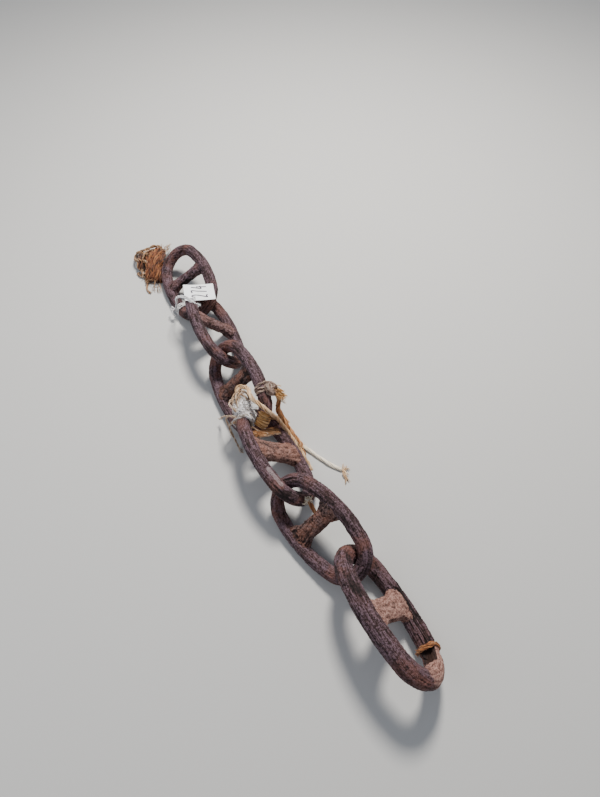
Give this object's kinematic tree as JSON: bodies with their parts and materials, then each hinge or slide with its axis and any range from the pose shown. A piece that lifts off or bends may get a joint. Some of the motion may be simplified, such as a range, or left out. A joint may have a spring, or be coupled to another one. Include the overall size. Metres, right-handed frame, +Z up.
{
  "type": "length of stud-link chain",
  "caption": "Length of old rusted stud-link anchor chain lying hooked on the floor, with a larger end link, a card tag, and remains of rope and twine",
  "frame": {"origin": "on the floor, below the middle of the box of the whole chain without the rope's loose end", "axes": "+Z up, +Y along the chain towards its plain end, with the larger end link at -Y and the rope's loose end on the +X side"},
  "size_m": [0.1713, 1.1494, 0.1227],
  "materials": {
    "rusted_iron": "old, fibrous, dark purple-brown rust",
    "rusted_stud_iron": "rough, swollen, pinkish brown rust",
    "brown_rope": "frayed, rust-stained natural fibre",
    "pale_twine": "frayed, bleached natural fibre",
    "white_card": "matt, stiff"
  },
  "bodies": {
    "link_4_body": {"link_4": "rusted_iron", "stud_4": "rusted_stud_iron", "rope_strap": "brown_rope", "rope_band": "brown_rope", "twine_bundle": "pale_twine", "rope_tail": "pale_twine"},
    "link_3_body": {"link_3": "rusted_iron", "stud_3": "rusted_stud_iron", "rope_knot": "brown_rope"},
    "link_2_body": {"link_2": "rusted_iron", "stud_2": "rusted_stud_iron"},
    "link_1_body": {"link_1": "rusted_iron", "stud_1": "rusted_stud_iron", "rope_hank": "brown_rope", "tag_string": "pale_twine", "lot_tag": "white_card"},
    "link_5_body": {"link_5": "rusted_iron", "stud_5": "rusted_stud_iron"},
    "link_6_body": {"link_6": "rusted_iron", "stud_6": "rusted_stud_iron", "crown_twine": "brown_rope"}
  },
  "joints": [
    {"name": "hinge_3_4", "type": "hinge", "parent": "link_4_body", "child": "link_3_body", "pos_m": [-0.0203, -0.0128, 0.05], "axis": [0, 0, 1], "range_deg": [-10, 10]},
    {"name": "hinge_2_3", "type": "hinge", "parent": "link_3_body", "child": "link_2_body", "pos_m": [-0.0069, 0.1641, 0.0683], "axis": [0, 0, 1], "range_deg": [-10, 10]},
    {"name": "hinge_1_2", "type": "hinge", "parent": "link_2_body", "child": "link_1_body", "pos_m": [0.0278, 0.3361, 0.0535], "axis": [0, 0, 1], "range_deg": [-10, 10]},
    {"name": "hinge_4_5", "type": "hinge", "parent": "link_4_body", "child": "link_5_body", "pos_m": [-0.0322, -0.1758, 0.0688], "axis": [0, 0, 1], "range_deg": [-10, 10]},
    {"name": "hinge_5_6", "type": "hinge", "parent": "link_5_body", "child": "link_6_body", "pos_m": [0.017, -0.3473, 0.0595], "axis": [0, 0, 1], "range_deg": [-10, 10]}
  ]
}
